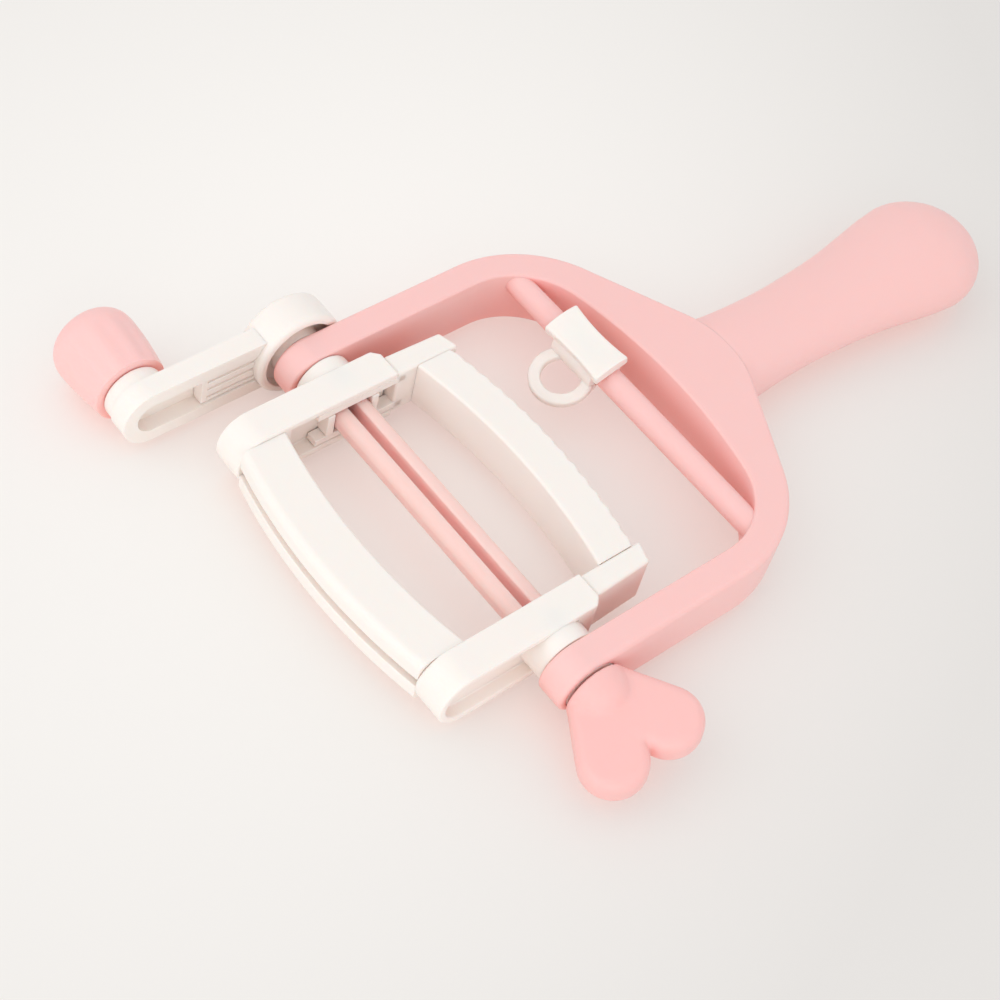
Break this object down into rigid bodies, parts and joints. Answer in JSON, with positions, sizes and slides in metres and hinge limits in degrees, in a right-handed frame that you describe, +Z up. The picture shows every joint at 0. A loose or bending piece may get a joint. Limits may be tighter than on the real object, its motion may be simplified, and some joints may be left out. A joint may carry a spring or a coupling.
{
  "type": "pom-pom maker",
  "caption": "Hand-cranked pom-pom maker: a pink bow with an oval grip carries a white winding frame, a crank with a barrel knob, a sliding yarn guide and a split shaft with a heart key.",
  "frame": {"origin": "on the winding frame's axis, midway between the bow's arms and at mid height of the bow", "axes": "+X runs along the grip to its rounded end, +Y along the winding frame's axis towards the crank, +Z up"},
  "size_m": [0.2666, 0.1933, 0.028],
  "materials": {
    "pink_plastic": "satin",
    "white_plastic": "satin",
    "screw_steel": "machined"
  },
  "bodies": {
    "frame": {"bow_frame": "pink_plastic", "handle_grip": "pink_plastic", "guide_rod": "pink_plastic"},
    "guide": {"yarn_guide": "white_plastic"},
    "winder": {"key_side_bar": "white_plastic", "crank_side_bar": "white_plastic", "near_curved_bar": "white_plastic", "crank_hub": "white_plastic", "crank_arm": "white_plastic", "crank_screw": "screw_steel", "knob_screw": "screw_steel"},
    "knob": {"crank_knob": "pink_plastic"},
    "far_half": {"far_curved_bar": "white_plastic", "key_side_slider": "white_plastic", "crank_side_slider": "white_plastic"},
    "key": {"split_shaft": "pink_plastic", "heart_key": "pink_plastic"}
  },
  "joints": [
    {"name": "crank_spin", "type": "hinge", "parent": "frame", "child": "winder", "pos_m": [0, 0, 0], "axis": [0, 1, 0], "continuous": true},
    {"name": "knob_spin", "type": "hinge", "parent": "winder", "child": "knob", "pos_m": [-0.0465, 0.089, 0], "axis": [0, 1, 0], "continuous": true},
    {"name": "far_half_slide", "type": "slide", "parent": "winder", "child": "far_half", "axis": [1, 0, 0], "range_m": [0, 0.009]},
    {"name": "key_slide", "type": "slide", "parent": "winder", "child": "key", "axis": [0, -1, 0], "range_m": [0, 0.088]},
    {"name": "guide_slide", "type": "slide", "parent": "frame", "child": "guide", "axis": [0, 1, 0], "range_m": [-0.048, 0.0085]}
  ]
}
